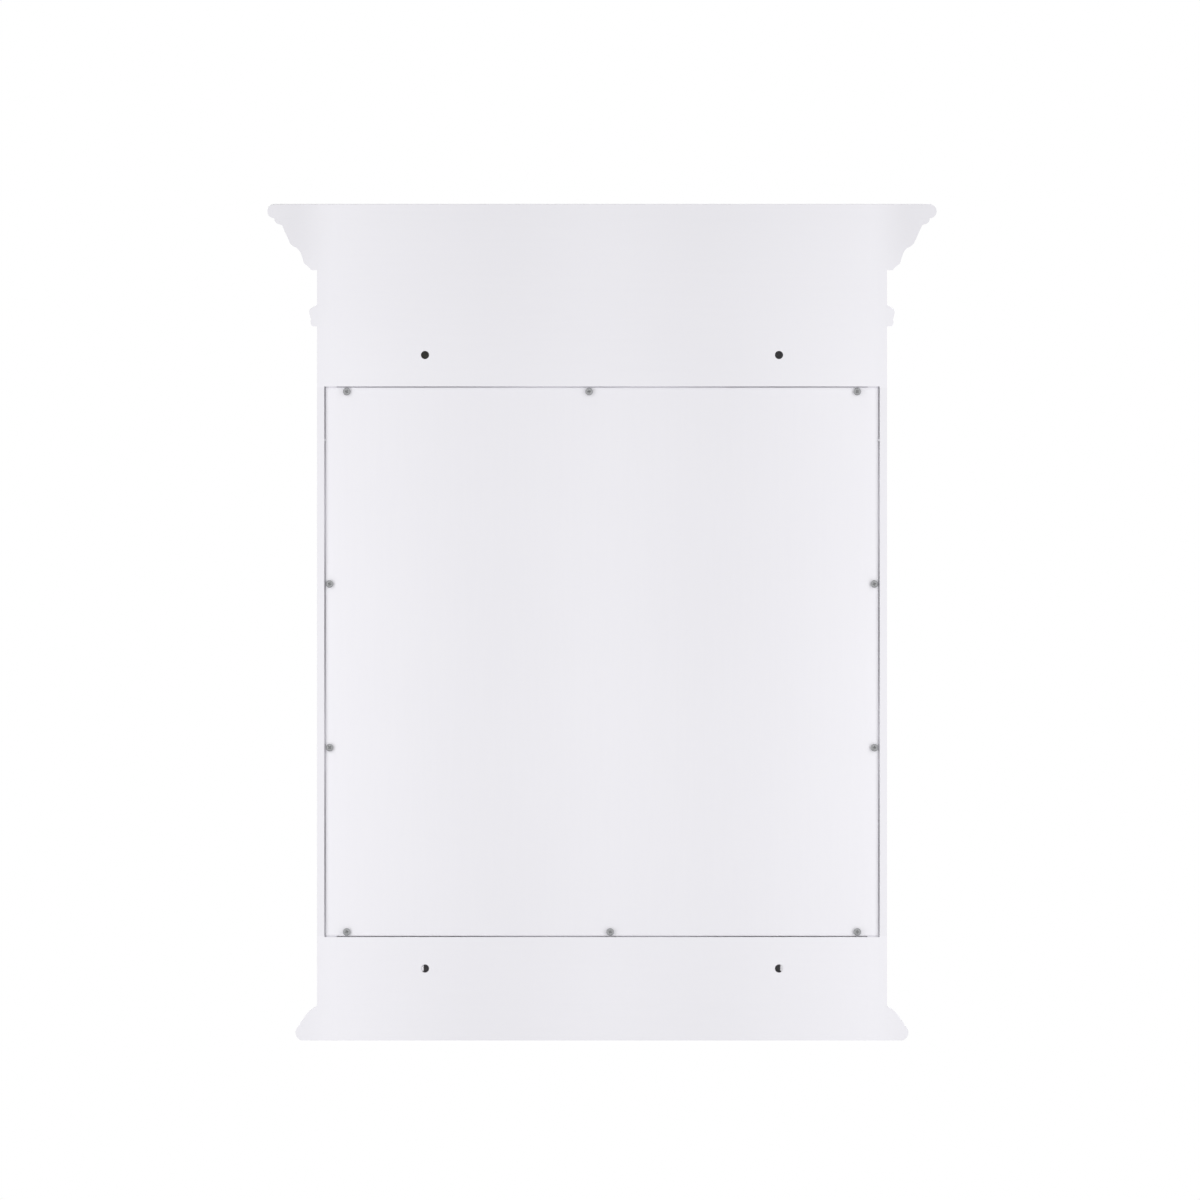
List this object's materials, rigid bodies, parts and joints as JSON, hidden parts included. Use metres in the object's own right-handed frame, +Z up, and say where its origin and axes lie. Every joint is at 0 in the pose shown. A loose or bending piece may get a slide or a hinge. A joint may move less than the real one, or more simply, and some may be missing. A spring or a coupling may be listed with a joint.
{
  "type": "mirrored medicine cabinet",
  "caption": "Painted wood wall cabinet with a moulded cornice and base, an inset mirror door on butt hinges, shelves on pins and a screwed back panel between rails with wall holes.",
  "frame": {"origin": "the middle of the four wall holes, in the plane of the wall", "axes": "+X to the right as seen from the room, +Y into the wall, +Z up"},
  "size_m": [0.6692, 0.1796, 0.8359],
  "materials": {
    "white_paint": "satin white paint on wood",
    "panel_paint": "satin white paint on a board",
    "mirror": "silvered plate with a polished bevel",
    "backing_board": "plain pressed board",
    "dowel_wood": "plain wood",
    "zinc_screw": "zinc plated",
    "hinge_nickel": "satin nickel",
    "knob_nickel": "satin nickel",
    "plated_steel": "bright plated",
    "catch_plastic": "moulded",
    "magnet": "sintered"
  },
  "bodies": {
    "carcass": {"side_panel_left": "white_paint", "side_panel_right": "white_paint", "upper_hanging_rail": "white_paint", "lower_hanging_rail": "white_paint", "cornice_back_rail": "white_paint", "base_back_rail": "white_paint", "bottom_board": "white_paint", "inner_top_board": "white_paint", "cap_board": "white_paint", "crown_front": "white_paint", "crown_left": "white_paint", "crown_right": "white_paint", "astragal_front": "white_paint", "astragal_left": "white_paint", "astragal_right": "white_paint", "base_front": "white_paint", "base_left": "white_paint", "base_right": "white_paint", "face_stile_left": "white_paint", "face_stile_right": "white_paint", "face_rail": "white_paint", "frieze_rail": "white_paint", "lower_shelf": "white_paint", "upper_shelf": "white_paint", "back_panel": "panel_paint", "carcass_dowels": "dowel_wood", "back_panel_screws": "zinc_screw", "catch_screws": "zinc_screw", "frame_hinge_screws": "zinc_screw", "lower_hinge_frame_leaf": "hinge_nickel", "upper_hinge_frame_leaf": "hinge_nickel", "lower_hinge_pin": "hinge_nickel", "upper_hinge_pin": "hinge_nickel", "shelf_pins": "plated_steel", "catch_pole_plates": "plated_steel", "catch_body": "catch_plastic", "catch_magnet": "magnet"},
    "door": {"door_stile_hinge": "white_paint", "door_stile_knob": "white_paint", "door_rail_top": "white_paint", "door_rail_bottom": "white_paint", "mirror_glass": "mirror", "mirror_backing": "backing_board", "mirror_bead_top": "white_paint", "mirror_bead_bottom": "white_paint", "mirror_bead_left": "white_paint", "mirror_bead_right": "white_paint", "lower_hinge_door_leaf": "hinge_nickel", "upper_hinge_door_leaf": "hinge_nickel", "door_hinge_screws": "zinc_screw", "knob": "knob_nickel", "knob_rosette": "knob_nickel", "knob_screw": "zinc_screw", "strike_plate": "plated_steel", "strike_screw": "zinc_screw"}
  },
  "joints": [
    {"name": "door_hinge", "type": "hinge", "parent": "carcass", "child": "door", "pos_m": [-0.242, -0.1335, 0], "axis": [0, 0, -1], "range_deg": [0, 170]}
  ]
}
